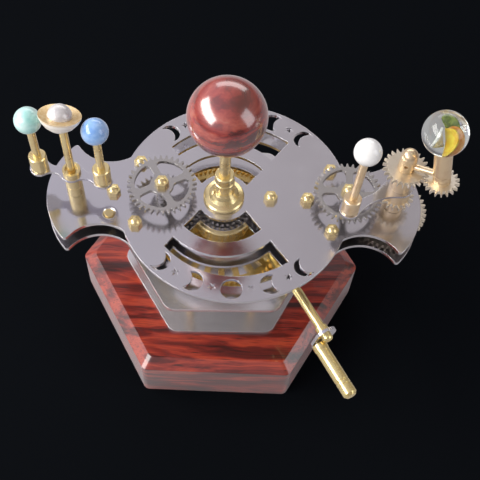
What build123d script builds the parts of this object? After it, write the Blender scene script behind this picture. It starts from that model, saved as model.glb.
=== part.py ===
from build123d import *
import math
import os

os.makedirs("parts", exist_ok=True)

# Orrery worked by a hand crank. Millimetres, +Z up.
# The origin is the middle of the underside of the wooden base.
# The base stands with a flat side towards -Y; the two wings of the carrier lie along X.

# ---- Wooden base and the two hexagonal plates
BASE_R = 60.0            # centre to corner of the wood
BASE_H = 25.4
BASE_BEVEL_H = 3.4       # height of the bevel round the top
BASE_BEVEL_W = 5.1       # how far the bevel comes in at the corners
BASE_CORNER = 3.0        # rounding of the upright corners
LOWER_HEX_R = 41.4
UPPER_HEX_R = 43.3
HEX_CORNER = 5.0
HEX_T = 1.8
HEX_GAP = 22.9           # clear height between the two plates
HEX_TURN = 2.0           # the plates stand turned this far on the wood
HEX_PILLAR_R = 1.7
HEX_PILLAR_AT = 26.0     # arbor to each of the six pillars
BOLT_R = 1.25
BOLT_HEAD_R = 2.6
BOLT_HEAD_H = 1.6
BOLT_SUNK = 6.0          # the bolt heads sit this far up in the underside of the wood
SCREW_BITE = 7.0         # how far a screw reaches into what it holds
SUNK_HEAD_R = 2.5        # countersunk heads, flush with the deck
SUNK_HEAD_H = 1.2

# ---- Shafts and running clearances
RUN = 0.05               # radial clearance of every turning fit
FACE_GAP = 0.15          # gap between faces that turn on each other
ARBOR_R = 2.5
PIN_R = 1.5              # shafts and pins of the gear trains

# ---- Carrier: two plates of one outline, bolted together, turning on the arbor
DISC_R = 45.0
LOWER_DISC_R = 40.5      # the lower plate's disc is smaller; its wings are the same
DISC_SHIFT = 4.26        # the disc's middle lies this far to the right of the arbor
PLATE_T = 1.5
PLATE_GAP = 6.7          # clear height between the plates
WING_REACH = 72.7        # disc's middle to the end of a wing
WING_END_R = 31.0
WING_BITE_R = 15.0       # radius of the scoops in front of and behind each wing
WING_BITE_X = 50.2
WING_NECK = 14.2         # half width of a wing at its narrowest
WING_TIP_R = 1.2
WING_ROOT = 24.0         # half width of a wing where it leaves the disc
LOWER_WING_ROOT = 21.0
UNDER_DISC = 13.4        # upper hexagonal plate to the lower carrier plate
WINDOW_IN = (10.5, 20.2)
WINDOW_OUT_R = 26.2      # inner edge of the outer windows, about the arbor
WINDOW_OUT_RIM = 34.5    # their outer edge, about the disc's middle
WINDOW_HALF = 37.5       # half angle between the straight ends of the windows
WINDOW_APEX = 5.6        # where the straight ends would meet, behind the arbor
MOON_RING_R = 39.8
MOON_R = 4.1
STAR_R = 1.7
CARRIER_PILLAR_X = 37.5  # from the disc's middle
CARRIER_PILLAR_Y = 13.8
CARRIER_PILLAR_R = 1.6
WING_SCREW_R = 1.7       # head of the small screw in the left wing
WING_SINK_R = 2.6        # dish round that head

# ---- Gears
MODULE = 0.7
BACKLASH = 0.16
PRESSURE = 20.0
GEAR_T = 1.8
WHEEL_T = 1.6
SUN_TEETH = 28
LEFT_TEETH = 40
LEFT_IDLER_TEETH = 14
SATURN_TEETH = 28
INNER_IDLER_TEETH = 24
OUTER_IDLER_TEETH = 17
RIGHT_TEETH = 26
WHEEL_TEETH = 36
MOON_TEETH = 17
RIGHT_PINION_TEETH = 16
ARM_TEETH = 37
FIXED_TEETH = 24
PLANET_TEETH = 18
FIXED_MODULE = 0.66      # the pair at the top of the right post is a little finer
PLANET_BACKLASH = 0.5

# ---- Crank drive
CROWN_MODULE = 0.6
CROWN_TEETH = 84
PINION_TEETH = 8
CRANK_ANGLE = -59.5      # direction of the crank shaft, seen from above
CRANK_OFFSET = 10.8      # the shaft passes the arbor at this distance
CRANK_LIFT = 4.7         # shaft above the upper hexagonal plate
CROWN_FACE = (23.9, 26.5)
PINION_SPAN = (22.4, 28.8)
CRANK_R = 1.5
CRANK_OUT_R = 1.85       # the shaft is thicker outside the bearing
CRANK_NUT_R = 2.1
BEARING_SPAN = (30.6, 34.6)
BEARING_W = 7.0
WEB_AT = 61.7            # inner face of the crank web, along the shaft
WEB_T = 1.2
WEB_EYE_R = 4.5
WEB_END_R = 2.9
WEB_TURN = 33.0          # the web hangs this far off the vertical
THROW = 5.3              # short enough for the handle to pass under the wings
HANDLE_R = 2.75
HANDLE_COLLAR_R = 2.95
HANDLE_L = 23.6
HANDLE_PIN_R = 1.3
HANDLE_PIN_L = 17.0
DRUM_R = 7.7
DRUM_TOP_R = 11.6
DRUM_STEP = 6.4          # height of the drum's wider top, above the crank shaft
SPOKES = 24
SPOKE_W = 2.4

# ---- Sun
SUN_R = 14.0
SUN_LIFT = 51.0          # middle of the sun above the upper carrier plate
SUN_ROD_R = 2.1
HUB_FLANGE_R = 7.9
HUB_R = 3.9
HUB_H = 15.9

# ---- Wheels above the carrier
WHEEL_LIFT = 5.8         # upper carrier plate to the underside of a wheel
WHEEL_HUB_R = 2.9
LEFT_OPENING = -17.0     # direction of one opening of the left wheel
RIGHT_OPENING = 42.0
NUT_AF = 4.7             # acorn nuts
NUT_HEX_H = 2.2
NUT_DOME_R = 2.15

# ---- Saturn and its two moons
SATURN_ROD_R = 1.5
SATURN_LIFT = 46.9       # middle of Saturn above the upper carrier plate
SATURN_R = 4.35
SATURN_RING_R = 7.5
SATURN_SAUCER_H = 5.6    # the ring is the edge of a saucer under the bead
SATURN_LEAN = 23.0       # the saucer's front edge is raised
SATURN_ROLL = 7.0        # its right edge is lower
SATURN_SLEEVE_R = 3.2
SATURN_NECK_R = 2.6
SATURN_SLEEVE_H = 11.9
SATURN_COLLAR_R = 3.4
SATURN_COLLAR_H = 1.6
ARM_T = 1.0
ARM_WAIST = 1.6          # half width of an arm at its narrowest
MINT_REACH = 12.1
MINT_TURN = 172.9
BLUE_REACH = 12.3
BLUE_TURN = -13.8
MINT_LIFT = 28.6         # middle of the bead above the arm
BLUE_LIFT = 29.9
CUP_R = 3.3
CUP_H = 7.6
STEM_R = 1.5
BEAD_R = 4.85

# ---- Right post: white moon, outer arm and the marble planet
SLEEVE_FOOT_R = 4.0
SLEEVE_WAIST_R = 5.0
SLEEVE_NECK_R = 3.1
WHITE_REACH = 22.6       # post to the cup
WHITE_TURN = 211.2
WHITE_LEAN = 1.8         # the stem leans in towards the post
WHITE_ARM_LIFT = 13.1    # upper carrier plate to the underside of the white moon's arm
WHITE_LIFT = 35.5
FIXED_LIFT = 24.2        # upper carrier plate to the underside of the upper gear
POST_HEAD_R = 3.1
POST_HEAD_H = 9.4
OUTER_ANGLE = -26.0      # direction of the outer arm
PLANET_TILT = 11.0       # lean of the planet's axis towards the post
ROD_R = 1.25
EYE_T = 2.4
PLANET_POST_R = 3.25
PLANET_PIN_R = 1.3
MARBLE_R = 8.0
MARBLE_LIFT = 26.6       # middle of the marble above the planet gear, along its axis
SEAT_DEPTH = 0.7

# ---- Heights that follow
LOWER_HEX_Z = BASE_H
UPPER_HEX_Z = LOWER_HEX_Z + HEX_T + HEX_GAP
DECK_Z = UPPER_HEX_Z + HEX_T                      # top of the upper hexagonal plate
LOWER_PLATE_Z = DECK_Z + UNDER_DISC
GEAR_Z = LOWER_PLATE_Z + PLATE_T + 0.6            # lower layer of gears
GEAR2_Z = GEAR_Z + GEAR_T + 1.2                   # upper layer of gears
UPPER_PLATE_Z = LOWER_PLATE_Z + PLATE_T + PLATE_GAP
TOP_Z = UPPER_PLATE_Z + PLATE_T                   # top of the upper carrier plate
WHEEL_Z = TOP_Z + WHEEL_LIFT
CRANK_Z = DECK_Z + CRANK_LIFT


def spread(teeth_a, teeth_b, module=MODULE):
    return 0.5 * module * (teeth_a + teeth_b)


# ---- Positions of the shafts along the wings
LEFT_X = -spread(SUN_TEETH, LEFT_TEETH)
LEFT_IDLER_X = LEFT_X - spread(LEFT_TEETH, LEFT_IDLER_TEETH)
SATURN_X = LEFT_IDLER_X - spread(LEFT_IDLER_TEETH, SATURN_TEETH)
INNER_IDLER_X = spread(SUN_TEETH, INNER_IDLER_TEETH)
OUTER_IDLER_X = INNER_IDLER_X + spread(INNER_IDLER_TEETH, OUTER_IDLER_TEETH)
RIGHT_X = OUTER_IDLER_X + spread(OUTER_IDLER_TEETH, RIGHT_TEETH)
POST_X = RIGHT_X + spread(WHEEL_TEETH, MOON_TEETH)


# ---- Small builders
def rod(radius, low, high, x=0.0, y=0.0):
    return Pos(x, y, low) * extrude(Circle(radius), high - low)


def tube(outer, inner, low, high, x=0.0, y=0.0):
    return Pos(x, y, low) * extrude(Circle(outer) - Circle(inner), high - low)


def turned(profile, x=0.0, y=0.0, bore=0.0):
    """Turned piece from (radius, height) points, closed along its own axis."""
    low, high = profile[0][1], profile[-1][1]
    line = Polyline((0, low), *profile, (0, high), close=True)
    body = revolve(Plane.XZ * make_face(line), Axis.Z)
    if bore:
        body -= rod(bore, low - 1, high + 1)
    return Pos(x, y, 0) * body


def involute(angle):
    return math.tan(angle) - angle


def gear_outline(teeth, phase=0.0, module=MODULE, backlash=BACKLASH, tip=1.0, root=1.25):
    """Outline of a spur gear; a tooth is centred on the angle phase (radians)."""
    pitch = 0.5 * module * teeth
    base = pitch * math.cos(math.radians(PRESSURE))
    tip_r = pitch + tip * module
    root_r = pitch - root * module
    at_pitch = (0.5 * math.pi * module - 0.5 * backlash) / (2 * pitch)
    at_base = at_pitch + involute(math.radians(PRESSURE))
    at_tip = at_base - involute(math.acos(base / tip_r))
    at_root = at_base if root_r <= base else at_base - involute(math.acos(base / root_r))
    points = []
    for k in range(teeth):
        middle = phase + 2 * math.pi * k / teeth
        flank = ((root_r, -at_root), (tip_r, -at_tip), (tip_r, at_tip), (root_r, at_root))
        for radius, turn in flank:
            angle = middle + turn
            points.append((radius * math.cos(angle), radius * math.sin(angle)))
    return make_face(Polyline(*points, close=True))


def meshed(phase, teeth, mate_teeth, angle):
    """Phase of the mate whose shaft lies in direction angle from a gear of that phase."""
    step = (angle - phase) % (2 * math.pi / teeth)
    return angle + math.pi + step * teeth / mate_teeth + math.pi / mate_teeth


def gear(outline, bore, low, thick, x=0.0, y=0.0):
    return Pos(x, y, low) * extrude(outline - Circle(bore), thick)


def acorn_nut(x, y, low):
    flat = RegularPolygon(NUT_AF / 2, 6, major_radius=False)
    nut = extrude(flat, NUT_HEX_H)
    nut += Pos(0, 0, NUT_HEX_H) * Sphere(NUT_DOME_R, arc_size1=0)
    return Pos(x, y, low) * nut


def pan_screw(x, y, low, length, up=True):
    """Screw with its head below, pointing up, or the other way round."""
    body = rod(BOLT_HEAD_R * 0.8, -BOLT_HEAD_H, 0) + rod(BOLT_R, 0, length)
    if not up:
        body = Rot(180, 0, 0) * body
    return Pos(x, y, low) * body


def sunk_screw(x, y, top, length):
    """Screw with a conical head, flush with the face it is driven into."""
    return turned([(BOLT_R, top - length), (BOLT_R, top - SUNK_HEAD_H), (SUNK_HEAD_R, top)], x, y)


def together(pieces):
    return Compound(children=list(pieces))


def save(shape, name):
    export_step(shape, "parts/" + name + ".step")


# ---- Wooden base
def hexagon(radius, corner):
    flat = RegularPolygon(radius, 6)
    return fillet(flat.vertices(), corner)


def polar(length, angle):
    return (length * math.cos(math.radians(angle)), length * math.sin(math.radians(angle)))


pillar_spots = [polar(HEX_PILLAR_AT, HEX_TURN + 60 * k) for k in range(6)]
side_h = BASE_H - BASE_BEVEL_H
wood = extrude(hexagon(BASE_R, BASE_CORNER), side_h)
wood += loft([Pos(0, 0, side_h) * hexagon(BASE_R, BASE_CORNER),
              Pos(0, 0, BASE_H) * hexagon(BASE_R - BASE_BEVEL_W, BASE_CORNER)])
for x, y in pillar_spots:
    wood -= rod(BOLT_HEAD_R + 0.2, -1, BOLT_SUNK, x, y)
    wood -= rod(BOLT_R, BOLT_SUNK - 1, BASE_H + 1, x, y)
save(wood, "wood_base")

lower_hex = Rot(0, 0, HEX_TURN) * extrude(hexagon(LOWER_HEX_R, HEX_CORNER), HEX_T)
upper_hex = Rot(0, 0, HEX_TURN) * extrude(hexagon(UPPER_HEX_R, HEX_CORNER), HEX_T)
crank_dir = Vector(math.cos(math.radians(CRANK_ANGLE)), math.sin(math.radians(CRANK_ANGLE)), 0)
crank_side = Vector(-crank_dir.Y, crank_dir.X, 0)
crank_foot = crank_side * CRANK_OFFSET
crank_frame = Plane(origin=(crank_foot.X, crank_foot.Y, CRANK_Z),
                    x_dir=(0, 0, 1), z_dir=(crank_dir.X, crank_dir.Y, 0))
bearing_mid = crank_foot + crank_dir * (0.5 * sum(BEARING_SPAN))
bearing_spots = []
for side in (-1, 1):
    spot = bearing_mid + crank_side * (side * (0.5 * BEARING_W - BOLT_R - 0.45))
    bearing_spots.append((spot.X, spot.Y))
lower_hex -= rod(ARBOR_R, -1, HEX_T + 1)
upper_hex -= rod(ARBOR_R, -1, HEX_T + 1)
for x, y in pillar_spots:
    lower_hex -= rod(BOLT_R, -1, HEX_T + 1, x, y)
    upper_hex -= sunk_screw(x, y, HEX_T, HEX_T)
for x, y in bearing_spots:
    upper_hex -= rod(BOLT_R, -1, HEX_T + 1, x, y)
save(Pos(0, 0, LOWER_HEX_Z) * lower_hex, "lower_hex_plate")
save(Pos(0, 0, UPPER_HEX_Z) * upper_hex, "upper_hex_plate")

bolt_l = BASE_H - BOLT_SUNK + HEX_T + SCREW_BITE
pillars, bolts, screws = [], [], []
for x, y in pillar_spots:
    low, high = LOWER_HEX_Z + HEX_T, UPPER_HEX_Z
    pillar = rod(HEX_PILLAR_R, low, high, x, y)
    pillar -= rod(BOLT_R, low - 1, low + SCREW_BITE, x, y)
    pillar -= rod(BOLT_R, high - SCREW_BITE, high + 1, x, y)
    pillars.append(pillar)
    bolt = rod(BOLT_HEAD_R, BOLT_SUNK - BOLT_HEAD_H, BOLT_SUNK, x, y)
    bolts.append(bolt + rod(BOLT_R, BOLT_SUNK, BOLT_SUNK + bolt_l, x, y))
    screws.append(sunk_screw(x, y, DECK_Z, HEX_T + SCREW_BITE))
for x, y in bearing_spots:
    screws.append(pan_screw(x, y, UPPER_HEX_Z, HEX_T + 0.35 * CRANK_LIFT))
save(together(pillars), "hex_pillars")
save(together(bolts), "base_bolts")
save(together(screws), "deck_screws")

# ---- Arbor and fixed sun gear
hub_top = TOP_Z + FACE_GAP + HUB_H
arbor_top = TOP_Z + 0.7 * HUB_H
save(rod(ARBOR_R, LOWER_HEX_Z, arbor_top), "central_arbor")
sun_phase = math.pi / SUN_TEETH
save(gear(gear_outline(SUN_TEETH, sun_phase), ARBOR_R, GEAR_Z, GEAR_T), "sun_gear")

# ---- Crank bearing on the upper hexagonal plate
block = Pos(-0.5 * CRANK_LIFT, 0) * Rectangle(CRANK_LIFT, BEARING_W) + Circle(0.5 * BEARING_W) - Circle(CRANK_R + RUN)
bearing = crank_frame * (Pos(0, 0, BEARING_SPAN[0]) * extrude(block, BEARING_SPAN[1] - BEARING_SPAN[0]))
for x, y in bearing_spots:
    bearing -= rod(BOLT_R, DECK_Z - 1, DECK_Z + 0.35 * CRANK_LIFT, x, y)
save(bearing, "crank_bearing")

# ---- Crank: shaft, pinion, web, nut and the pin of the handle
shoulder_r = CRANK_R + 1.0
shaft = rod(CRANK_R, 2.0, WEB_AT + WEB_T + 1.6)
shaft += rod(CRANK_OUT_R, BEARING_SPAN[1] + FACE_GAP, WEB_AT)
shaft += rod(shoulder_r, BEARING_SPAN[1] + FACE_GAP, BEARING_SPAN[1] + 2.2)
shaft += rod(shoulder_r, WEB_AT - 2.8, WEB_AT)
save(crank_frame * shaft, "crank_shaft")

pinion = gear(gear_outline(PINION_TEETH, math.pi, CROWN_MODULE, 0.3), CRANK_R, PINION_SPAN[0],
              PINION_SPAN[1] - PINION_SPAN[0])
pinion += tube(shoulder_r, CRANK_R, PINION_SPAN[1], BEARING_SPAN[0] - FACE_GAP)
save(crank_frame * pinion, "crank_pinion")

web_frame = crank_frame * Rot(0, 0, -WEB_TURN)
web = make_hull([Circle(WEB_EYE_R).edge(), (Pos(-THROW, 0) * Circle(WEB_END_R)).edge()])
web = extrude(web, WEB_T) - rod(CRANK_R, -1, WEB_T + 1) - rod(HANDLE_PIN_R, -1, WEB_T + 1, -THROW)
save(web_frame * (Pos(0, 0, WEB_AT) * web), "crank_web")
nut = turned([(CRANK_NUT_R, 0), (CRANK_NUT_R, 1.5), (CRANK_NUT_R - 0.5, 2.1)])
nut -= rod(CRANK_R, -1, 1.6)
nut -= Pos(0, 0, 2.0) * Box(0.6, 2 * CRANK_NUT_R + 1, 0.8)
save(crank_frame * (Pos(0, 0, WEB_AT + WEB_T) * nut), "crank_nut")
pin_end = WEB_AT + WEB_T + HANDLE_PIN_L
save(web_frame * rod(HANDLE_PIN_R, WEB_AT, pin_end, -THROW), "handle_pin")

groove = 0.25
grip = turned([(HANDLE_COLLAR_R - 0.4, 0), (HANDLE_COLLAR_R, 0.4), (HANDLE_COLLAR_R, 2.2),
               (HANDLE_R, 3.0), (HANDLE_R, HANDLE_L - 7.0), (HANDLE_R - groove, HANDLE_L - 6.8),
               (HANDLE_R - groove, HANDLE_L - 6.5), (HANDLE_R, HANDLE_L - 6.3),
               (HANDLE_R, HANDLE_L - 5.2), (HANDLE_R - groove, HANDLE_L - 5.0),
               (HANDLE_R - groove, HANDLE_L - 4.7), (HANDLE_R, HANDLE_L - 4.5),
               (HANDLE_R, HANDLE_L - 1.0), (HANDLE_R - 0.9, HANDLE_L)])
grip -= rod(HANDLE_PIN_R + RUN, -1, HANDLE_PIN_L + 0.4)
save(web_frame * (Pos(-THROW, 0, WEB_AT + WEB_T + 0.3) * grip), "crank_handle")

# ---- Crown wheel and drum under the carrier
pitch_z = CRANK_Z - 0.5 * CROWN_MODULE * PINION_TEETH
crown_root = pitch_z - 1.25 * CROWN_MODULE
crown_top = pitch_z + CROWN_MODULE
rim_in = math.hypot(CROWN_FACE[0], CRANK_OFFSET) - 2.2
rim_out = math.hypot(CROWN_FACE[1], CRANK_OFFSET) + 0.3
crown_t = crown_root - DECK_Z - 0.35
crown = Circle(rim_out) - Circle(rim_in)
crown += Circle(DRUM_R + 2.6)
for k in range(SPOKES):
    turn = 1.0 + 360.0 * k / SPOKES
    crown += Rot(0, 0, turn) * Pos(0.5 * (rim_in + DRUM_R), 0) * Rectangle(rim_in - DRUM_R + 1, SPOKE_W)
crown -= Circle(5.0)
crown = Pos(0, 0, crown_root - crown_t) * extrude(crown, crown_t)
pitch_line = 0.5 * CROWN_MODULE * CROWN_TEETH
slope = math.tan(math.radians(PRESSURE))


def crown_tooth():
    """Tooth of the crown wheel, along +X, narrowing upwards and inwards."""
    faces = []
    for height in (crown_root - 0.05, crown_top):
        corners = []
        for along in CROWN_FACE:
            half = 0.25 * math.pi * CROWN_MODULE * along / pitch_line - 0.14
            half -= slope * (height - pitch_z)
            corners.append((along, half))
        (a, wa), (b, wb) = corners
        outline = Polyline((a, -wa), (b, -wb), (b, wb), (a, wa), close=True)
        faces.append(Pos(0, 0, height) * make_face(outline))
    return loft(faces)


tooth = crown_tooth()
first_turn = CRANK_ANGLE + 180.0 / CROWN_TEETH
teeth = []
for k in range(CROWN_TEETH):
    teeth.append(Rot(0, 0, first_turn + 360.0 * k / CROWN_TEETH) * (Pos(0, CRANK_OFFSET, 0) * tooth))
crown = crown.fuse(*teeth)
save(crown, "crown_wheel")

drum = turned([(5.0, DECK_Z + 0.05), (5.0, crown_root), (DRUM_R, crown_root), (DRUM_R, LOWER_PLATE_Z - DRUM_STEP - 0.8),
               (DRUM_TOP_R - 0.4, LOWER_PLATE_Z - DRUM_STEP - 0.4), (DRUM_TOP_R, LOWER_PLATE_Z - DRUM_STEP),
               (DRUM_TOP_R, LOWER_PLATE_Z - 0.5), (DRUM_TOP_R - 0.5, LOWER_PLATE_Z),
               (5.0, LOWER_PLATE_Z), (5.0, LOWER_PLATE_Z + PLATE_T)], bore=ARBOR_R + RUN)
save(drum, "carrier_drum")


# ---- Carrier plates
def wing_outline(root):
    """Wing to the right, with rounded tips; root is its half width next to the disc."""
    wing = Pos(WING_REACH - WING_END_R, 0) * Circle(WING_END_R)
    for way in (-1, 1):
        wing -= Pos(WING_BITE_X, way * (WING_NECK + WING_BITE_R)) * Circle(WING_BITE_R)
    inner = Pos(0.5 * WING_BITE_X, 0) * Rectangle(WING_BITE_X, 2 * root)
    outer = Pos(WING_BITE_X + 0.5 * WING_REACH, 0) * Rectangle(WING_REACH, 2 * WING_END_R)
    wing = wing & (inner + outer)
    tips = [v for v in wing.vertices() if v.X > WING_BITE_X and abs(v.Y) > WING_NECK]
    return fillet(tips, WING_TIP_R)


def plate_outline(disc_r, root):
    wing = wing_outline(root)
    return Pos(DISC_SHIFT, 0) * (Circle(disc_r) + wing + Rot(0, 0, 180) * wing)


def wedge(side):
    reach = 60.0
    half = reach * math.tan(math.radians(WINDOW_HALF))
    outline = Polyline((0, WINDOW_APEX), (half, WINDOW_APEX - reach), (-half, WINDOW_APEX - reach), close=True)
    shape = make_face(outline)
    return shape if side < 0 else Rot(0, 0, 180) * shape


def windows():
    cuts = []
    for side in (-1, 1):
        inner = (Circle(WINDOW_IN[1]) - Circle(WINDOW_IN[0])) & wedge(side)
        outer = (Pos(DISC_SHIFT, 0) * Circle(WINDOW_OUT_RIM) - Circle(WINDOW_OUT_R)) & wedge(side)
        cuts += [inner, outer]
    return cuts


def crescent(width):
    return Circle(MOON_R) - Pos(width, 0) * Circle(MOON_R * 1.02)


def star():
    points = []
    for k in range(10):
        radius = STAR_R if k % 2 == 0 else 0.4 * STAR_R
        angle = math.radians(36 * k)
        points.append((radius * math.cos(angle), radius * math.sin(angle)))
    return make_face(Polyline(*points, close=True))


def moon_cuts():
    """Full moon in the middle, waning to both sides, with stars between; front and rear."""
    cuts = []
    for middle in (-90.0, 90.0):
        cuts.append((middle, Circle(MOON_R)))
        for side in (-1, 1):
            turn = 90.0 * side
            cuts.append((middle + side * 21.5, Rot(0, 0, turn) * crescent(4.6)))
            cuts.append((middle + side * 43.0, Rot(0, 0, turn) * crescent(2.7)))
            cuts.append((middle + side * 10.5, star()))
            cuts.append((middle + side * 32.0, star()))
    placed = []
    for angle, cut in cuts:
        placed.append(Pos(DISC_SHIFT, 0) * Rot(0, 0, angle) * Pos(MOON_RING_R, 0) * cut)
    return placed


carrier_spots = []
for side in (-1, 1):
    for way in (-1, 1):
        carrier_spots.append((DISC_SHIFT + side * CARRIER_PILLAR_X, way * CARRIER_PILLAR_Y))
idler_spots = [(LEFT_IDLER_X, 0.0), (INNER_IDLER_X, 0.0), (OUTER_IDLER_X, 0.0)]
wing_screw = (LEFT_IDLER_X - 0.9, -9.6)


def pierced(shape):
    """Cut what both plates have: windows, pillar bolts, idler pins and three shafts."""
    for cut in windows():
        shape -= cut
    for x, y in carrier_spots:
        shape -= Pos(x, y) * Circle(BOLT_R)
    for x, y in idler_spots:
        shape -= Pos(x, y) * Circle(PIN_R)
    for x in (LEFT_X, RIGHT_X, POST_X):
        shape -= Pos(x, 0) * Circle(PIN_R + RUN)
    return shape


lower = pierced(plate_outline(LOWER_DISC_R, LOWER_WING_ROOT))
lower -= Circle(5.0)
lower -= Pos(SATURN_X, 0) * Circle(SATURN_ROD_R)
upper = pierced(plate_outline(DISC_R, WING_ROOT))
upper -= Circle(ARBOR_R + RUN)
upper -= Pos(SATURN_X, 0) * Circle(SATURN_NECK_R + RUN)
for cut in moon_cuts():
    upper -= cut
lower = Pos(0, 0, LOWER_PLATE_Z) * extrude(lower, PLATE_T)
upper = Pos(0, 0, UPPER_PLATE_Z) * extrude(upper, PLATE_T)
dish_h = 0.8 * PLATE_T
upper -= turned([(BOLT_R, UPPER_PLATE_Z), (BOLT_R, TOP_Z - dish_h), (WING_SINK_R, TOP_Z)], *wing_screw)
save(lower, "lower_carrier_plate")
save(upper, "upper_carrier_plate")

# ---- Pillars, pins, screws and acorn nuts of the carrier
stud_top = TOP_Z + NUT_HEX_H
pillars, nuts, screws, pins = [], [], [], []
for x, y in carrier_spots:
    low, high = LOWER_PLATE_Z + PLATE_T, UPPER_PLATE_Z
    pillars.append(rod(CARRIER_PILLAR_R, low, high, x, y) - rod(BOLT_R, low - 1, high + 1, x, y))
    screws.append(pan_screw(x, y, LOWER_PLATE_Z, stud_top - LOWER_PLATE_Z))
    nuts.append(acorn_nut(x, y, TOP_Z) - rod(BOLT_R, TOP_Z - 1, stud_top, x, y))
dish_at = dish_h * (WING_SINK_R - WING_SCREW_R) / (WING_SINK_R - BOLT_R)   # the head rests here
head = rod(WING_SCREW_R, TOP_Z - dish_at, TOP_Z + 0.1, *wing_screw)
screws.append(head + rod(BOLT_R, UPPER_PLATE_Z, TOP_Z - dish_at, *wing_screw))
for x, y in idler_spots:
    pin = rod(PIN_R, LOWER_PLATE_Z, stud_top, x, y)
    pins.append(pin + rod(PIN_R + 1.0, LOWER_PLATE_Z - 1.2, LOWER_PLATE_Z, x, y))
    nuts.append(acorn_nut(x, y, TOP_Z) - rod(PIN_R, TOP_Z - 1, stud_top, x, y))
save(together(pillars), "carrier_pillars")
save(together(screws), "carrier_screws")
save(together(nuts), "carrier_nuts")
save(together(pins), "idler_pins")

# ---- Gears between the carrier plates
left_phase = meshed(sun_phase, SUN_TEETH, LEFT_TEETH, math.pi)
left_idler_phase = meshed(left_phase, LEFT_TEETH, LEFT_IDLER_TEETH, math.pi)
saturn_phase = meshed(left_idler_phase, LEFT_IDLER_TEETH, SATURN_TEETH, math.pi)
inner_phase = meshed(sun_phase, SUN_TEETH, INNER_IDLER_TEETH, 0.0)
outer_phase = meshed(inner_phase, INNER_IDLER_TEETH, OUTER_IDLER_TEETH, 0.0)
right_phase = meshed(outer_phase, OUTER_IDLER_TEETH, RIGHT_TEETH, 0.0)


def idler(teeth, phase, x):
    """Idler gear with a short boss on each side, running on its pin."""
    low, high = LOWER_PLATE_Z + PLATE_T + FACE_GAP, UPPER_PLATE_Z - FACE_GAP
    body = gear(gear_outline(teeth, phase), PIN_R + RUN, GEAR_Z, GEAR_T, x)
    boss = tube(PIN_R + 1.2, PIN_R + RUN, low, GEAR_Z, x)
    return body + boss + tube(PIN_R + 1.2, PIN_R + RUN, GEAR_Z + GEAR_T, high, x)


save(idler(LEFT_IDLER_TEETH, left_idler_phase, LEFT_IDLER_X), "left_idler_gear")
save(idler(INNER_IDLER_TEETH, inner_phase, INNER_IDLER_X), "inner_idler_gear")
save(idler(OUTER_IDLER_TEETH, outer_phase, OUTER_IDLER_X), "outer_idler_gear")


# ---- Openwork wheels above the carrier
def openwork(phase, first):
    """Wheel with four leaning spokes; first is the direction of one of its openings."""
    inner_r = 4.5
    outer_r = 0.5 * MODULE * WHEEL_TEETH - 2.1
    shape = gear_outline(WHEEL_TEETH, phase)
    for k in range(4):
        turn = first + 90.0 * k
        corner = [polar(inner_r, turn - 36), polar(outer_r, turn - 38),
                  polar(outer_r, turn + 36), polar(inner_r, turn + 24)]
        edges = [Line(corner[0], corner[1]),
                 ThreePointArc(corner[1], polar(outer_r, turn - 1), corner[2]),
                 Line(corner[2], corner[3]),
                 ThreePointArc(corner[3], polar(inner_r, turn - 6), corner[0])]
        hole = make_face(edges)
        shape -= fillet(hole.vertices(), 1.6)
    return shape


def train_shaft(x):
    return rod(PIN_R, LOWER_PLATE_Z - 0.8, WHEEL_Z + WHEEL_T + NUT_HEX_H, x)


def wheel_piece(phase, first, x):
    """Wheel with its hub; the set screw's hole is in the hub's front."""
    body = gear(openwork(phase, first), PIN_R, WHEEL_Z, WHEEL_T, x)
    body += tube(WHEEL_HUB_R, PIN_R, TOP_Z + FACE_GAP, WHEEL_Z, x)
    hole = Rot(90, 0, 0) * rod(0.7, PIN_R, WHEEL_HUB_R + 1)
    return body - Pos(x, 0, TOP_Z + 0.5 * WHEEL_LIFT) * hole


def wheel_nut(x):
    low = WHEEL_Z + WHEEL_T
    return acorn_nut(x, 0, low) - rod(PIN_R, low - 1, low + NUT_HEX_H, x)


wheel_phase = 0.0
save(train_shaft(LEFT_X), "left_wheel_shaft")
save(gear(gear_outline(LEFT_TEETH, left_phase), PIN_R, GEAR_Z, GEAR_T, LEFT_X), "left_wheel_gear")
save(wheel_piece(0.1, LEFT_OPENING, LEFT_X), "left_wheel")
save(wheel_nut(LEFT_X), "left_wheel_nut")
save(train_shaft(RIGHT_X), "right_wheel_shaft")
save(gear(gear_outline(RIGHT_TEETH, right_phase), PIN_R, GEAR_Z, GEAR_T, RIGHT_X), "right_wheel_gear")
pinion_phase = 0.0
right_pinion = gear(gear_outline(RIGHT_PINION_TEETH, pinion_phase), PIN_R, GEAR2_Z, GEAR_T, RIGHT_X)
right_pinion += tube(PIN_R + 1.0, PIN_R, GEAR_Z + GEAR_T, GEAR2_Z, RIGHT_X)
save(right_pinion, "right_wheel_pinion")
save(wheel_piece(wheel_phase, RIGHT_OPENING, RIGHT_X), "right_wheel")
save(wheel_nut(RIGHT_X), "right_wheel_nut")


# ---- Arms of the moons
def strip(length, hub_r, end_r):
    """Waisted strip from a round eye at the origin to one on +X, running smoothly into both."""
    low, high = 0.0, 50.0 * length
    for _ in range(60):
        bite = 0.5 * (low + high)
        near = math.sqrt((bite + hub_r) ** 2 - (bite + ARM_WAIST) ** 2)
        far = math.sqrt((bite + end_r) ** 2 - (bite + ARM_WAIST) ** 2)
        low, high = (bite, high) if near + far < length else (low, bite)
    middle = Vector(near, bite + ARM_WAIST, 0)
    first = middle * (hub_r / (bite + hub_r))
    last = Vector(length, 0, 0) + (middle - Vector(length, 0, 0)) * (end_r / (bite + end_r))
    shape = make_face(Polyline((first.X, first.Y), (last.X, last.Y), (last.X, -last.Y),
                               (first.X, -first.Y), close=True))
    for way in (-1, 1):
        shape -= Pos(near, way * middle.Y) * Circle(bite)
    return shape


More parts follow.
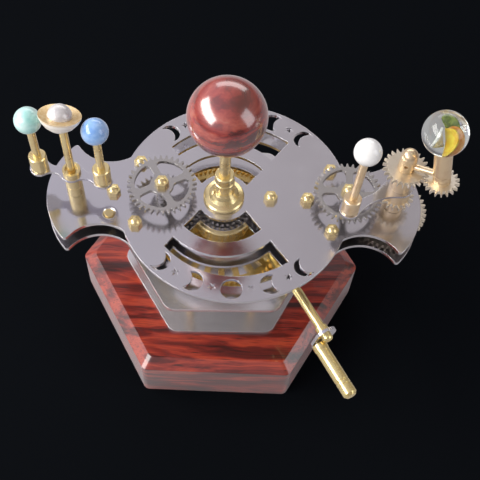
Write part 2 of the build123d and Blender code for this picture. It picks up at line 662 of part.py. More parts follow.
def flat_arm(ends, hub_r, hub_bore, end_r):
    """Flat arm with a round eye on the post and one at each end."""
    shape = Circle(hub_r)
    for length, angle in ends:
        shape += Rot(0, 0, angle) * (strip(length, hub_r, end_r) + Pos(length, 0) * Circle(end_r))
    return extrude(shape - Circle(hub_bore), ARM_T)


def leaning(lean, turn):
    """Lean by an angle away from the direction turn."""
    return Rot(0, 0, turn) * Rot(0, -lean, 0) * Rot(0, 0, -turn)


def stem(x, y, low, lift, bead_r, lean=0.0, turn=0.0):
    """Cup on the arm with a thin stem that ends inside the bead."""
    cup = turned([(CUP_R - 0.5, 0), (CUP_R, 0.5), (CUP_R, CUP_H - 0.4), (CUP_R - 0.4, CUP_H)])
    cup += leaning(lean, turn) * rod(STEM_R, 0.5 * CUP_H, lift - 0.4 * bead_r)
    return Pos(x, y, low) * cup


def bead(x, y, low, lift, radius=BEAD_R, hole=STEM_R, lean=0.0, turn=0.0):
    ball = Pos(0, 0, lift) * Sphere(radius)
    ball -= rod(hole, lift - radius - 1, lift - 0.4 * radius)
    return Pos(x, y, low) * leaning(lean, turn) * ball


# ---- Saturn on its fixed rod
saturn_z = TOP_Z + SATURN_LIFT
rod_top = saturn_z - 0.4 * SATURN_R
save(rod(SATURN_ROD_R, LOWER_PLATE_Z, rod_top, SATURN_X), "saturn_rod")
ring_r, saucer_h = SATURN_RING_R, SATURN_SAUCER_H
saucer = turned([(0.26 * ring_r, -saucer_h), (0.47 * ring_r, -0.87 * saucer_h), (0.73 * ring_r, -0.58 * saucer_h),
                 (0.93 * ring_r, -0.22 * saucer_h), (ring_r, 0), (ring_r, 0.5), (SATURN_R, 0.2)])
saucer = Pos(SATURN_X, 0, saturn_z) * Rot(-SATURN_LEAN, SATURN_ROLL, 0) * saucer
saucer -= Pos(SATURN_X, 0, saturn_z) * Sphere(SATURN_R)
saucer -= rod(SATURN_ROD_R, saturn_z - 2 * saucer_h, saturn_z, SATURN_X)
save(saucer, "saturn_ring")
save(bead(SATURN_X, 0, TOP_Z, SATURN_LIFT, SATURN_R, SATURN_ROD_R), "saturn_bead")

# ---- Saturn's moons on the sleeve that turns about the rod
sleeve_top = TOP_Z + FACE_GAP + SATURN_SLEEVE_H
arm_top = sleeve_top + ARM_T
collar_top = arm_top + SATURN_COLLAR_H
sleeve_bore = SATURN_ROD_R + RUN
sleeve = turned([(SATURN_NECK_R, LOWER_PLATE_Z + PLATE_T + FACE_GAP), (SATURN_NECK_R, TOP_Z + FACE_GAP),
                 (SATURN_SLEEVE_R, TOP_Z + FACE_GAP), (SATURN_SLEEVE_R, sleeve_top),
                 (SATURN_NECK_R, sleeve_top), (SATURN_NECK_R, arm_top),
                 (SATURN_COLLAR_R, arm_top), (SATURN_COLLAR_R, collar_top)],
                SATURN_X, 0, bore=sleeve_bore)
sleeve -= rod(0.5 * (SATURN_COLLAR_R + sleeve_bore), arm_top + 0.4, collar_top + 1, SATURN_X)
joint_z = TOP_Z + FACE_GAP + 0.42 * SATURN_SLEEVE_H
sleeve -= tube(SATURN_SLEEVE_R + 1, SATURN_SLEEVE_R - 0.15, joint_z, joint_z + 0.2, SATURN_X)
save(sleeve, "saturn_sleeve")
save(gear(gear_outline(SATURN_TEETH, saturn_phase), SATURN_NECK_R, GEAR_Z, GEAR_T, SATURN_X), "saturn_gear")
moon_ends = [(MINT_REACH, MINT_TURN), (BLUE_REACH, BLUE_TURN)]
moon_arm = flat_arm(moon_ends, SATURN_SLEEVE_R + 1.3, SATURN_NECK_R, CUP_R + 0.5)
save(Pos(SATURN_X, 0, sleeve_top) * moon_arm, "saturn_moon_arm")
mint = polar(MINT_REACH, MINT_TURN)
blue = polar(BLUE_REACH, BLUE_TURN)
stems = [stem(SATURN_X + mint[0], mint[1], arm_top, MINT_LIFT, BEAD_R),
         stem(SATURN_X + blue[0], blue[1], arm_top, BLUE_LIFT, BEAD_R)]
save(together(stems), "saturn_moon_stems")
save(bead(SATURN_X + mint[0], mint[1], arm_top, MINT_LIFT), "mint_moon")
save(bead(SATURN_X + blue[0], blue[1], arm_top, BLUE_LIFT), "blue_moon")

# ---- Right post: sleeve with two gears and the white moon
moon_phase = meshed(wheel_phase, WHEEL_TEETH, MOON_TEETH, 0.0)
arm_phase = meshed(pinion_phase, RIGHT_PINION_TEETH, ARM_TEETH, 0.0)
white_z = TOP_Z + WHITE_ARM_LIFT
fixed_z = TOP_Z + FIXED_LIFT
foot_z = TOP_Z + FACE_GAP
gear_top = WHEEL_Z + WHEEL_T
post_sleeve = turned([(SLEEVE_FOOT_R, foot_z), (SLEEVE_FOOT_R, WHEEL_Z), (SLEEVE_NECK_R, WHEEL_Z),
                      (SLEEVE_NECK_R, fixed_z + WHEEL_T + 0.4)], POST_X, 0, bore=PIN_R + RUN)
post_sleeve += tube(SLEEVE_WAIST_R, SLEEVE_NECK_R - 0.1, gear_top, white_z, POST_X)
post_sleeve += tube(SLEEVE_FOOT_R, SLEEVE_NECK_R - 0.1, white_z + ARM_T, fixed_z, POST_X)
save(post_sleeve, "moon_sleeve")
save(gear(gear_outline(MOON_TEETH, moon_phase), SLEEVE_NECK_R, WHEEL_Z, WHEEL_T, POST_X), "moon_gear")
white_arm = flat_arm([(WHITE_REACH, WHITE_TURN)], SLEEVE_WAIST_R + 0.4, SLEEVE_NECK_R, CUP_R + 0.6)
save(Pos(POST_X, 0, white_z) * white_arm, "white_moon_arm")
white = polar(WHITE_REACH, WHITE_TURN)
white_top = white_z + ARM_T
save(stem(POST_X + white[0], white[1], white_top, WHITE_LIFT, BEAD_R, WHITE_LEAN, WHITE_TURN), "white_moon_stem")
save(bead(POST_X + white[0], white[1], white_top, WHITE_LIFT, BEAD_R, STEM_R, WHITE_LEAN, WHITE_TURN), "white_moon")

outer_dir = math.radians(OUTER_ANGLE)
fixed_phase = outer_dir
fixed_outline = gear_outline(FIXED_TEETH, fixed_phase, FIXED_MODULE, PLANET_BACKLASH, 0.9, 1.5)
save(gear(fixed_outline, SLEEVE_NECK_R, fixed_z, WHEEL_T, POST_X), "upper_gear")

# ---- Shaft through the right post, with the outer arm on top
head_low = fixed_z + WHEEL_T + 0.4 + FACE_GAP
head_top = head_low + POST_HEAD_H
save(rod(PIN_R, LOWER_PLATE_Z, head_low + 0.6 * POST_HEAD_H, POST_X), "arm_shaft")
save(gear(gear_outline(ARM_TEETH, arm_phase), PIN_R, GEAR2_Z, GEAR_T, POST_X), "arm_gear")

tilt = math.radians(PLANET_TILT)
fixed_pitch = 0.5 * FIXED_MODULE * FIXED_TEETH
planet_pitch = 0.5 * FIXED_MODULE * PLANET_TEETH
planet_out = fixed_pitch + planet_pitch * math.cos(tilt)
planet_z = fixed_z + 0.5 * WHEEL_T + planet_pitch * math.sin(tilt)
out = Vector(math.cos(outer_dir), math.sin(outer_dir), 0)
lean = out * (-math.sin(tilt)) + Vector(0, 0, math.cos(tilt))
slant = out * math.cos(tilt) + Vector(0, 0, math.sin(tilt))
planet_spot = Vector(POST_X, 0, planet_z) + out * planet_out
planet_frame = Plane(origin=planet_spot, x_dir=slant, z_dir=lean)
eye_low = 0.5 * WHEEL_T + 2.0
reach = planet_out / math.cos(tilt)
head = turned([(POST_HEAD_R, head_low), (POST_HEAD_R, head_top - POST_HEAD_R)], POST_X, 0)
head += Pos(POST_X, 0, head_top - POST_HEAD_R) * Sphere(POST_HEAD_R)
bar_mid = eye_low + 0.5 * EYE_T
bar_l = reach - 0.7 * PLANET_POST_R
rod_body = Pos(-reach + 1.0, 0, bar_mid) * extrude(Plane.YZ * Circle(ROD_R), bar_l - 1.0)
eye = rod(PLANET_POST_R, eye_low, eye_low + EYE_T)
head += planet_frame * (rod_body + eye)
head -= rod(PIN_R, head_low - 1, head_low + 0.6 * POST_HEAD_H, POST_X)
head -= planet_frame * rod(PLANET_PIN_R + RUN, eye_low - 1, eye_low + EYE_T + 1)
screw_hole = Rot(90, 0, 0) * rod(0.75, PIN_R, POST_HEAD_R + 1)
head -= Pos(POST_X, 0, head_low + 0.35 * POST_HEAD_H) * Rot(0, 0, -20) * screw_hole
save(head, "outer_arm")

# ---- Marble planet, leaning towards the post
# In its own frame +X points away from the post, so the upper gear lies towards -X.
planet_phase = math.pi + math.pi / PLANET_TEETH
planet_outline = gear_outline(PLANET_TEETH, planet_phase, FIXED_MODULE, PLANET_BACKLASH, 0.75, 1.5)
save(planet_frame * gear(planet_outline, PLANET_PIN_R, -0.5 * WHEEL_T, WHEEL_T), "planet_gear")
hub = tube(PLANET_POST_R, PLANET_PIN_R, 0.5 * WHEEL_T, eye_low - FACE_GAP)
save(planet_frame * hub, "planet_hub")
post_low = eye_low + EYE_T + FACE_GAP
post = rod(PLANET_PIN_R, -0.5 * WHEEL_T, post_low) + rod(PLANET_POST_R, post_low, MARBLE_LIFT - MARBLE_R + SEAT_DEPTH)
post -= Pos(0, 0, MARBLE_LIFT) * Sphere(MARBLE_R)
save(planet_frame * post, "planet_post")
save(planet_frame * (Pos(0, 0, MARBLE_LIFT) * Sphere(MARBLE_R)), "planet_marble")

# ---- Sun on the central column
hub_low = TOP_Z + FACE_GAP
sun_hub = turned([(HUB_FLANGE_R - 0.3, hub_low), (HUB_FLANGE_R, hub_low + 0.4), (HUB_FLANGE_R, hub_low + 1.2),
                  (HUB_FLANGE_R - 0.5, hub_low + 1.7), (HUB_R + 1.9, hub_low + 2.3),
                  (HUB_R + 0.9, hub_low + 3.6), (HUB_R + 0.2, hub_low + 5.0), (HUB_R, hub_low + 6.4),
                  (HUB_R, hub_top - 4.2), (HUB_R - 0.25, hub_top - 4.0),
                  (HUB_R - 0.25, hub_top - 0.4), (HUB_R - 0.6, hub_top)])
sun_hub -= rod(ARBOR_R, hub_low - 1, arbor_top)
sun_hub -= rod(SUN_ROD_R, arbor_top - 1, hub_top + 1)
sun_hub -= Pos(0, 0, hub_low + 5.5) * Rot(0, 0, -62) * Rot(90, 0, 0) * rod(0.8, ARBOR_R, HUB_R + 2)
save(sun_hub, "sun_hub")
sun_z = TOP_Z + SUN_LIFT
save(rod(SUN_ROD_R, arbor_top, sun_z - 0.5 * SUN_R), "sun_rod")
save(bead(0, 0, TOP_Z, SUN_LIFT, SUN_R, SUN_ROD_R) , "sun_ball")
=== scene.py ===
import math

import bmesh
import bpy
from mathutils import Matrix, Vector


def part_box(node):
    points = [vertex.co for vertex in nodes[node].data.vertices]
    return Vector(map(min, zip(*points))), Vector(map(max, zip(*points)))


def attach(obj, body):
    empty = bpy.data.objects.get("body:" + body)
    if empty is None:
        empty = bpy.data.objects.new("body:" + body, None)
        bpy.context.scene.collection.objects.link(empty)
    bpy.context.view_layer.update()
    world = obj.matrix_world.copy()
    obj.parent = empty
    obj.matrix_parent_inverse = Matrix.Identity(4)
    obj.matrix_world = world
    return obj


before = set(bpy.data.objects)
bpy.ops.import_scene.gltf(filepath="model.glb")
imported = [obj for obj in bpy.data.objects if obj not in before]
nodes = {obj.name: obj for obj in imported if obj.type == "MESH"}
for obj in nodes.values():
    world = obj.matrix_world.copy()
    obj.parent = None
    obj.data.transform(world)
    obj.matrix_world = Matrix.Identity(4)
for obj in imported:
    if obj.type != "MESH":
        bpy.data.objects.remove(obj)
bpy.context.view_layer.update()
MM = 0.001         # one millimetre in the scene's metres
ROUND_BELOW = 38   # degrees; facets that meet flatter than this are one round surface


# Materials: one function adds a node, the others place a pattern, round the edges and make each finish
def colour(code):
    """Linear RGBA of an sRGB hex colour."""
    parts = [int(code[i:i + 2], 16) / 255 for i in (1, 3, 5)]
    linear = [p / 12.92 if p <= 0.04045 else ((p + 0.055) / 1.055) ** 2.4 for p in parts]
    return (*linear, 1.0)


def add(tree, kind, settings=None, values=None, links=None, stops=()):
    """Adds a node; settings are its properties, values its sockets, links socket to socket, and
    stops the places and hex colours along a colour ramp."""
    made = tree.nodes.new("ShaderNode" + kind)
    for key, value in (settings or {}).items():
        setattr(made, key, value)
    for key, value in (values or {}).items():
        made.inputs[key].default_value = value
    for key, source in (links or {}).items():
        tree.links.new(source, made.inputs[key])
    if stops:
        band = made.color_ramp
        while len(band.elements) < len(stops):
            band.elements.new(0.5)
        for element, (place, code) in zip(band.elements, stops):
            element.position = place
            element.color = colour(code)
    return made


def surface(name, **sockets):
    """A named material and its shader, with the plain numbers set on the shader's own sockets."""
    made = bpy.data.materials.new(name)
    made.use_nodes = True
    shader = made.node_tree.nodes["Principled BSDF"]
    for key, value in sockets.items():
        shader.inputs[key.replace("_", " ")].default_value = value
    return made, made.node_tree, shader


def placed(tree, size=(1, 1, 1), turn=(0, 0, 0)):
    """Object coordinates counted in patches of the given size in millimetres."""
    where = add(tree, "TexCoord").outputs["Object"]
    patches = tuple(1 / (MM * side) for side in size)
    return add(tree, "Mapping", values={"Scale": patches, "Rotation": turn},
               links={"Vector": where}).outputs["Vector"]


def relief(tree, shader, height, depth, edge):
    """Bump of the given depth, and corners rounded by edge to catch the light, both in millimetres."""
    bump = add(tree, "Bump", values={"Strength": 1.0, "Distance": depth * MM}, links={"Height": height})
    rounding = add(tree, "Bevel", {"samples": 6}, {"Radius": edge * MM})
    tree.links.new(rounding.outputs["Normal"], bump.inputs["Normal"])
    tree.links.new(bump.outputs["Normal"], shader.inputs["Normal"])


def padauk():
    """Padauk under gloss lacquer: sawn with the grain nearly along X, sanded and sprayed.
    Gives dark wavy stripes in a red ground, short pores, and a wet, even gloss."""
    made, tree, shader = surface("padauk_lacquered", Roughness=0.32, IOR=1.5, Coat_Weight=1.0,
                                 Coat_Roughness=0.035, Coat_IOR=1.5)
    stripe_length, stripe_width, bend_width, bend_reach = 83.3, 5.0, 20.0, 3.5
    # Real pores are finer: they are drawn this coarse to show
    pore_length, pore_width = 9.0, 0.45
    grain_turn = (0.05, 0.04, 0.12)
    flow = placed(tree, (stripe_length, bend_width, bend_width), (0.0, 0.0, grain_turn[2]))
    bend = add(tree, "TexNoise", values={"Scale": 1.0, "Detail": 3.0}, links={"Vector": flow})
    grain = placed(tree, (stripe_length, stripe_width, stripe_width), grain_turn)
    bent = add(tree, "VectorMath", {"operation": "MULTIPLY_ADD"}, {1: (bend_reach,) * 3},
               {0: bend.outputs["Color"], 2: grain})
    stripes = add(tree, "TexNoise", values={"Scale": 1.0, "Detail": 4.0, "Roughness": 0.62},
                  links={"Vector": bent.outputs[0]})
    ground = add(tree, "ValToRGB", links={"Fac": stripes.outputs["Fac"]},
                 stops=[(0.34, "#2C0703"), (0.45, "#5E150B"), (0.53, "#85281A"), (0.60, "#A23A20"),
                        (0.70, "#6E1C0F")])
    pores = add(tree, "TexNoise", values={"Scale": 1.0, "Detail": 1.0},
                links={"Vector": placed(tree, (pore_length, pore_width, pore_width), grain_turn)})
    mask = add(tree, "MapRange", values={"From Min": 0.62, "From Max": 0.74},
               links={"Value": pores.outputs["Fac"]})
    pored = add(tree, "Mix", {"data_type": "RGBA"}, {"B": colour("#240603")},
                {"Factor": mask.outputs["Result"], "A": ground.outputs["Color"]})
    tree.links.new(pored.outputs["Result"], shader.inputs["Base Color"])
    relief(tree, shader, mask.outputs["Result"], depth=-0.02, edge=0.4)
    return made


def steel_plate(name, code, metal, low_rough, high_rough):
    """Stainless steel sheet, cut by water jet and buffed or left as rolled: a soft mirror with faint
    lines along X, finger marks that dull it in patches, and broken edges that catch a white line."""
    made, tree, shader = surface(name, Metallic=metal, Base_Color=colour(code))
    # Real buffing lines are finer: they are drawn this coarse to show
    line_length, line_width, smear = 33.3, 0.25, 14.0
    lines = add(tree, "TexNoise", values={"Scale": 1.0, "Detail": 2.0},
                links={"Vector": placed(tree, (line_length, line_width, line_width))})
    marks = add(tree, "TexNoise", values={"Scale": 1.0, "Detail": 5.0, "Roughness": 0.6},
                links={"Vector": placed(tree, (smear,) * 3)})
    dull = add(tree, "MapRange", links={"Value": marks.outputs["Fac"]},
               values={"From Min": 0.35, "From Max": 0.7, "To Min": low_rough, "To Max": high_rough})
    tree.links.new(dull.outputs["Result"], shader.inputs["Roughness"])
    relief(tree, shader, lines.outputs["Fac"], depth=0.0012, edge=0.22)
    return made


def steel_cut():
    """Mild steel, milled and left bare: grey satin with the cutter's fine marks."""
    made, tree, shader = surface("steel_milled", Metallic=1.0, Base_Color=colour("#C3C0BC"), Roughness=0.26)
    # Real cutter marks are finer: they are drawn this coarse to show
    cutter_mark = 0.18
    marks = add(tree, "TexNoise", values={"Scale": 1 / cutter_mark, "Detail": 2.0},
                links={"Vector": placed(tree)})
    relief(tree, shader, marks.outputs["Fac"], depth=0.004, edge=0.12)
    return made


def brass(name, code, rough, fine, tarnish="#B98F4C"):
    """Free-cutting brass with the tool's fine marks along the axes that fine names: Z for the rings
    of an upright turned piece, X and Y for a flat or lying one. A thin film gathers in faint patches."""
    made, tree, shader = surface(name, Metallic=0.9)
    # Real tool marks are finer: they are drawn this coarse to show
    mark_length, mark_width, film_patch, film_dulls = 8.33, 0.22, 6.25, 0.12
    marks = add(tree, "TexNoise", values={"Scale": 1.0, "Detail": 1.0},
                links={"Vector": placed(tree, tuple(mark_width if axis else mark_length for axis in fine))})
    film = add(tree, "TexNoise", values={"Scale": 1 / film_patch, "Detail": 4.0, "Roughness": 0.6},
               links={"Vector": placed(tree)})
    share = add(tree, "MapRange", values={"From Min": 0.48, "From Max": 0.78, "To Max": 0.5},
                links={"Value": film.outputs["Fac"]})
    filmed = add(tree, "Mix", {"data_type": "RGBA"}, {"A": colour(code), "B": colour(tarnish)},
                 {"Factor": share.outputs["Result"]})
    tree.links.new(filmed.outputs["Result"], shader.inputs["Base Color"])
    dull = add(tree, "MapRange", values={"To Min": rough, "To Max": rough + film_dulls},
               links={"Value": film.outputs["Fac"]})
    tree.links.new(dull.outputs["Result"], shader.inputs["Roughness"])
    relief(tree, shader, marks.outputs["Fac"], depth=0.003, edge=0.15)
    return made


def red_jasper():
    """Red jasper, ground to a ball and polished: muted red and pink clouds, dark bands about the
    middle, a lighter pink painted towards the top and bottom as painted reflection for the pale rim, and a
    slightly broad shine."""
    made, tree, shader = surface("red_jasper", Roughness=0.2, IOR=1.9, Coat_Weight=1.0, Coat_Roughness=0.1)
    cloud, band_length, band_width, band_reach, dark_half = 9.0, 22.2, 3.2, 1.6, 9
    low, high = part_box("sun_ball")
    middle = (low[2] + high[2]) / 2 / MM
    warp = add(tree, "TexNoise", values={"Scale": 1 / cloud, "Detail": 3.0}, links={"Vector": placed(tree)})
    bands = placed(tree, (band_length, band_length, band_width), (0.05, -0.1, 0.0))
    moved = add(tree, "VectorMath", {"operation": "MULTIPLY_ADD"}, {1: (band_reach,) * 3},
                {0: warp.outputs["Color"], 2: bands})
    veins = add(tree, "TexNoise", values={"Scale": 1.0, "Detail": 5.0, "Roughness": 0.62},
                links={"Vector": moved.outputs[0]})
    ground = add(tree, "ValToRGB", links={"Fac": veins.outputs["Fac"]},
                 stops=[(0.33, "#2E0808"), (0.43, "#5C1614"), (0.51, "#8A2A22"), (0.60, "#A24334"),
                        (0.72, "#B06450")])
    height = add(tree, "SeparateXYZ", links={"Vector": placed(tree)})
    away = add(tree, "MapRange", links={"Value": height.outputs["Z"]},
               values={"From Min": middle - dark_half, "From Max": middle + dark_half, "To Min": -1.0})
    square = add(tree, "Math", {"operation": "MULTIPLY"},
                 links={0: away.outputs["Result"], 1: away.outputs["Result"]})
    # Painted reflection: up to half of a lighter pink is mixed in towards the top and bottom of the ball, in
    # place of the pale light that the rim reflects
    painted_reflection_share = add(tree, "MapRange", values={"From Min": 0.4, "From Max": 1.4, "To Max": 0.5},
                links={"Value": square.outputs["Value"]})
    # The lighter pink of the painted reflection, laid over the stone's own colours
    mixed = add(tree, "Mix", {"data_type": "RGBA"}, {"B": colour("#A24A3C")},
                {"Factor": painted_reflection_share.outputs["Result"], "A": ground.outputs["Color"]})
    tree.links.new(mixed.outputs["Result"], shader.inputs["Base Color"])
    return made


def polished_stone(name, stops, patch, rough=0.18, **more):
    """A tumbled and polished bead with soft clouding in patches of the given width."""
    made, tree, shader = surface(name, Roughness=rough, IOR=1.54, Coat_Weight=0.6, Coat_Roughness=0.06,
                                 **more)
    clouds = add(tree, "TexNoise", values={"Scale": 1 / patch, "Detail": 4.0, "Roughness": 0.55},
                 links={"Vector": placed(tree)})
    tint = add(tree, "ValToRGB", links={"Fac": clouds.outputs["Fac"]}, stops=stops)
    tree.links.new(tint.outputs["Color"], shader.inputs["Base Color"])
    return made


def saucer_glaze():
    """Bone china saucer: white outside, a thin gold lustre brushed on the upper face."""
    made, tree, shader = surface("china_gold_lustre", Roughness=0.24, IOR=1.5, Coat_Weight=0.4,
                                 Coat_Roughness=0.1)
    brush_stroke, lustre_metal = 1.11, 0.45
    up = add(tree, "SeparateXYZ", links={"Vector": add(tree, "TexCoord").outputs["Normal"]})
    top = add(tree, "MapRange", values={"From Min": 0.2, "From Max": 0.5}, links={"Value": up.outputs["Z"]})
    brush = add(tree, "TexNoise", values={"Scale": 1 / brush_stroke, "Detail": 3.0},
                links={"Vector": placed(tree)})
    gold = add(tree, "ValToRGB", links={"Fac": brush.outputs["Fac"]},
               stops=[(0.35, "#D8B57A"), (0.65, "#E9CF9E")])
    mixed = add(tree, "Mix", {"data_type": "RGBA"}, {"A": colour("#EFEAE0")},
                {"Factor": top.outputs["Result"], "B": gold.outputs["Color"]})
    tree.links.new(mixed.outputs["Result"], shader.inputs["Base Color"])
    metal = add(tree, "Math", {"operation": "MULTIPLY"}, {1: lustre_metal}, {0: top.outputs["Result"]})
    tree.links.new(metal.outputs["Value"], shader.inputs["Metallic"])
    return made


def clear_glass():
    """Soda-lime marble glass, fire-polished: clear and bright, with a faint green cast."""
    return surface("marble_glass", Base_Color=colour("#F1F8F2"), Roughness=0.02, IOR=1.5,
                   Transmission_Weight=1.0)[0]


def glass_ribbon(name, stops):
    """Coloured opaque glass folded into the marble while hot: streaks of two shades."""
    made, tree, shader = surface(name, Roughness=0.3, IOR=1.5)
    streak_width = 2.0
    streak = add(tree, "TexNoise", values={"Scale": 1 / streak_width, "Detail": 3.0, "Distortion": 1.2},
                 links={"Vector": placed(tree)})
    tint = add(tree, "ValToRGB", links={"Fac": streak.outputs["Fac"]}, stops=stops)
    tree.links.new(tint.outputs["Color"], shader.inputs["Base Color"])
    return made


UPRIGHT, LYING = (0, 0, 1), (1, 1, 0)   # which axes have brass's fine marks
finishes = {
    "wood": padauk(),
    "plate": steel_plate("steel_buffed", "#DAD8DC", 1.0, 0.10, 0.24),
    "deck": steel_plate("steel_rolled", "#E2E0E2", 0.86, 0.14, 0.26),
    "steel": steel_cut(),
    "brass": brass("brass_turned_upright", "#F4E0A8", 0.2, UPRIGHT),
    "brass_post": brass("brass_turned_rosy", "#F0D8B2", 0.25, UPRIGHT, "#C79A6A"),
    "brass_flat": brass("brass_milled", "#F3D58A", 0.2, LYING),
    "brass_pale": brass("brass_tinned", "#E9DFCB", 0.24, LYING, "#BFA686"),
    "brass_crank": brass("brass_turned_crank", "#F6E2A0", 0.18, LYING),
    "jasper": red_jasper(),
    "pearl": polished_stone("pearl_lustre", [(0.3, "#B5B0B2"), (0.55, "#D6D2D1"), (0.75, "#E6E2DE")],
                            patch=3.0, rough=0.28, Metallic=0.15),
    "mint": polished_stone("amazonite", [(0.3, "#9CD6D0"), (0.5, "#BDE6E1"), (0.72, "#DFF2EF")], patch=5.0),
    "blue": polished_stone("blue_opal", [(0.3, "#6E9CDA"), (0.5, "#93BAEA"), (0.72, "#B9D5F5")], patch=5.0),
    "white": polished_stone("white_howlite", [(0.3, "#E3E2DD"), (0.5, "#F0F0ED"), (0.7, "#F6F6F4")],
                            patch=4.0),
    "saucer": saucer_glaze(),
    "glass": clear_glass(),
}
# Nodes that have a finish other than plain brass
dressed = {
    "wood": ["wood_base"],
    "plate": ["lower_carrier_plate", "upper_carrier_plate", "saturn_moon_arm", "white_moon_arm", "crank_web"],
    "deck": ["lower_hex_plate", "upper_hex_plate"],
    "steel": ["base_bolts", "deck_screws", "central_arbor", "sun_gear", "idler_pins", "left_wheel_shaft",
              "right_wheel_shaft", "arm_shaft", "handle_pin", "left_wheel_gear", "left_wheel", "right_wheel",
              "right_wheel_gear", "inner_idler_gear", "outer_idler_gear", "left_idler_gear", "saturn_gear"],
    "brass_flat": ["crown_wheel", "right_wheel_pinion"],
    "brass_pale": ["moon_gear", "upper_gear", "planet_gear", "arm_gear"],
    "brass_post": ["outer_arm", "planet_post", "planet_hub", "moon_sleeve", "white_moon_stem"],
    "brass_crank": ["crank_shaft", "crank_pinion", "crank_nut", "crank_handle", "crank_bearing"],
    "jasper": ["sun_ball"],
    "pearl": ["saturn_bead"],
    "mint": ["mint_moon"],
    "blue": ["blue_moon"],
    "white": ["white_moon"],
    "saucer": ["saturn_ring"],
    "glass": ["planet_marble"],
}
finish_of = {name: key for key, names in dressed.items() for name in names}
for name, piece in nodes.items():
    piece.data.materials.clear()
    piece.data.materials.append(finishes[finish_of.get(name, "brass")])
    piece.data.polygons.foreach_set("use_smooth", [True] * len(piece.data.polygons))
    piece.data.set_sharp_from_angle(angle=math.radians(ROUND_BELOW))


# Ribbons of coloured glass in the marble, which the solids leave out
def new_piece(name, mesh, finish, body):
    """A piece of the scene's own, linked in with its finish as its material, riding on the given body."""
    made = bpy.data.objects.new(name, mesh)
    bpy.context.scene.collection.objects.link(made)
    made.data.materials.append(finish)
    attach(made, body)
    return made


def ribbon(name, finish, inner, outer, start, twist, lift):
    """A twisted vane inside the marble, given in millimetres and degrees about its leaning axis."""
    low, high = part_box("planet_marble")
    centre = Vector([(a + b) / 2 for a, b in zip(low, high)])
    rows, columns = 28, 8
    tallness, fullness, sweep, lean, thickness = 0.86, 0.8, 28, -20, 0.45
    shape = bmesh.new()
    grid = []
    for i in range(rows + 1):
        up = -1 + 2 * i / rows
        height = up * outer * tallness + lift
        span = math.sqrt(max(0.0, 1 - up * up)) ** fullness
        row = []
        for j in range(columns + 1):
            reach = inner + (outer - inner) * span * j / columns
            angle = math.radians(start + twist * up + sweep * j / columns)
            row.append(shape.verts.new((reach * math.cos(angle), reach * math.sin(angle), height)))
        grid.append(row)
    for i in range(rows):
        for j in range(columns):
            shape.faces.new((grid[i][j], grid[i][j + 1], grid[i + 1][j + 1], grid[i + 1][j]))
    mesh = bpy.data.meshes.new(name)
    shape.to_mesh(mesh)
    shape.free()
    leaning = Matrix.Rotation(math.radians(lean), 4, "Y")
    mesh.transform(Matrix.Translation(centre) @ leaning @ Matrix.Scale(MM, 4))
    mesh.polygons.foreach_set("use_smooth", [True] * len(mesh.polygons))
    made = new_piece(name, mesh, finish, "planet")
    thick = made.modifiers.new("thickness", "SOLIDIFY")
    thick.thickness = thickness * MM
    thick.offset = 0.0


# Name, colours, inner and outer reach, start, twist and lift
ribbons = [
    ("ribbon_green", [(0.3, "#5E7A2A"), (0.6, "#9DB04A")], 0.4, 3.9, 25, 50, 1.6),
    ("ribbon_yellow", [(0.3, "#F0B400"), (0.6, "#FBE04A")], 0.2, 4.6, 265, 60, -1.6),
    ("ribbon_orange", [(0.3, "#EF9A2E"), (0.6, "#F8C27C")], 0.2, 4.2, 315, 45, -2.0),
    ("ribbon_white", [(0.3, "#EDEDE8"), (0.6, "#FCFCF8")], 0.8, 4.4, 195, 30, 0.2),
]
for name, stops, inner, outer, start, twist, lift in ribbons:
    ribbon(name, glass_ribbon(name + "_glass", stops), inner, outer, start, twist, lift)

# Floor: grey paper that lights the part from below, shown nearly black to the camera alone
FLOOR_HALF = 3.0
corners = [(-FLOOR_HALF, -FLOOR_HALF, 0), (FLOOR_HALF, -FLOOR_HALF, 0),
           (FLOOR_HALF, FLOOR_HALF, 0), (-FLOOR_HALF, FLOOR_HALF, 0)]
floor_mesh = bpy.data.meshes.new("floor")
floor_mesh.from_pydata(corners, [], [(0, 1, 2, 3)])
floor = bpy.data.objects.new("floor", floor_mesh)
bpy.context.scene.collection.objects.link(floor)
paper, tree, shader = surface("floor_paper", Roughness=1.0, Specular_IOR_Level=0.0)
shown = add(tree, "Mix", {"data_type": "RGBA"}, {"A": colour("#A5A3A4"), "B": colour("#0B0D10")},
            {"Factor": add(tree, "LightPath").outputs["Is Camera Ray"]})
tree.links.new(shown.outputs["Result"], shader.inputs["Base Color"])
floor.data.materials.append(paper)


# Light: a long window at the left, two soft fills, and a bright room that the steel reflects
def lamp(name, place, target, size, power, tint="#FFFFFF"):
    """A rectangular lamp aimed at target, in metres and watts."""
    made = bpy.data.lights.new(name, "AREA")
    made.shape = "RECTANGLE"
    made.size, made.size_y = size
    made.energy = power
    made.color = colour(tint)[:3]
    holder = bpy.data.objects.new(name, made)
    holder.location = place
    holder.rotation_mode = "QUATERNION"
    holder.rotation_quaternion = (Vector(target) - Vector(place)).to_track_quat("-Z", "Y")
    bpy.context.scene.collection.objects.link(holder)


lamp("window_left", (-0.78, -0.15, 0.6), (0, 0, 0.1), (1.25, 0.42), 14.0, "#FFFDF8")
lamp("fill_right", (0.85, -0.3, 0.5), (0, 0, 0.08), (0.5, 0.7), 2.4, "#F6F9FF")
lamp("back_soft", (0.1, 0.9, 0.55), (0, 0, 0.08), (1.0, 0.35), 2.4)

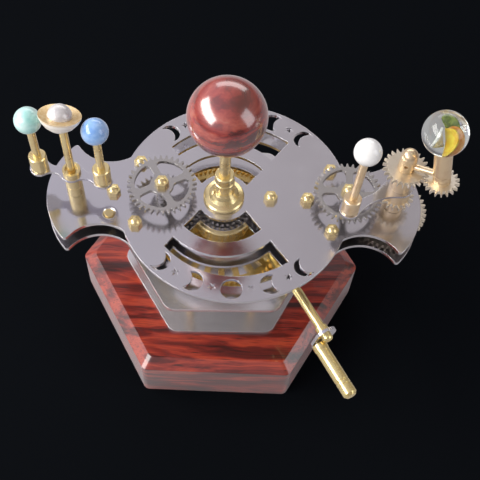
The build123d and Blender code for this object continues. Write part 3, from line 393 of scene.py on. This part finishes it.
ACROSS_HALF = 0.45   # share of the way to the side where the room's tint stops changing
world = bpy.data.worlds.new("studio")
bpy.context.scene.world = world
world.use_nodes = True
tree = world.node_tree
background = tree.nodes["Background"]
toward = add(tree, "SeparateXYZ", links={"Vector": add(tree, "TexCoord").outputs["Generated"]})
upward = add(tree, "ValToRGB", links={"Fac": toward.outputs["Z"]},
             stops=[(0.0, "#8C8A8E"), (0.35, "#E6E3E2"), (0.8, "#DEDCE0"), (1.0, "#D4D2DA")])
across = add(tree, "MapRange", values={"From Min": -ACROSS_HALF, "From Max": ACROSS_HALF},
             links={"Value": toward.outputs["X"]})
sideways = add(tree, "ValToRGB", links={"Fac": across.outputs["Result"]},
               stops=[(0.0, "#F0F0FF"), (0.45, "#E2DEE0"), (1.0, "#AFA8A2")])
room = add(tree, "Mix", {"data_type": "RGBA", "blend_type": "MULTIPLY"}, {"Factor": 1.0},
           {"A": upward.outputs["Color"], "B": sideways.outputs["Color"]})
seen = add(tree, "Mix", {"data_type": "RGBA"}, {"B": colour("#101216")},
           {"Factor": add(tree, "LightPath").outputs["Is Camera Ray"], "A": room.outputs["Result"]})
tree.links.new(seen.outputs["Result"], background.inputs["Color"])
background.inputs["Strength"].default_value = 1.0

# The camera stands where the photograph's did, fitted on the base's corners, the plates' outlines and the
# shafts: focal length in pixels, distance in metres, and angles. The two shifts are in pixels: the middle
# of the base's underside shows 20 left of the frame's middle and 44.1 below it
FOCAL, DISTANCE, ELEVATION, ROLL = 899.7, 0.4157, math.radians(63.17), math.radians(2.45)
SIDE_SHIFT, UP_SHIFT, FRAME_PX = -20.0, 44.1, 480
back = Vector((0, -math.cos(ELEVATION), math.sin(ELEVATION)))
right = Vector((1, 0, 0))
up = back.cross(right)
right, up = right * math.cos(ROLL) + up * math.sin(ROLL), up * math.cos(ROLL) - right * math.sin(ROLL)
pan, tilt = math.atan2(SIDE_SHIFT, FOCAL), math.atan2(UP_SHIFT, FOCAL)
ahead = -right * math.sin(pan) - back * math.cos(pan)
side = right * math.cos(pan) - back * math.sin(pan)
over = up * math.cos(tilt) - ahead * math.sin(tilt)
ahead = up * math.sin(tilt) + ahead * math.cos(tilt)
lens = bpy.data.cameras.new("camera")
lens.sensor_width = 36.0
lens.lens = FOCAL / FRAME_PX * lens.sensor_width
camera = bpy.data.objects.new("camera", lens)
bpy.context.scene.collection.objects.link(camera)
turn = Matrix((side, over, -ahead)).transposed()
camera.matrix_world = Matrix.Translation(back * DISTANCE) @ turn.to_4x4()
bpy.context.scene.camera = camera
bpy.context.scene.view_settings.view_transform = "Standard"
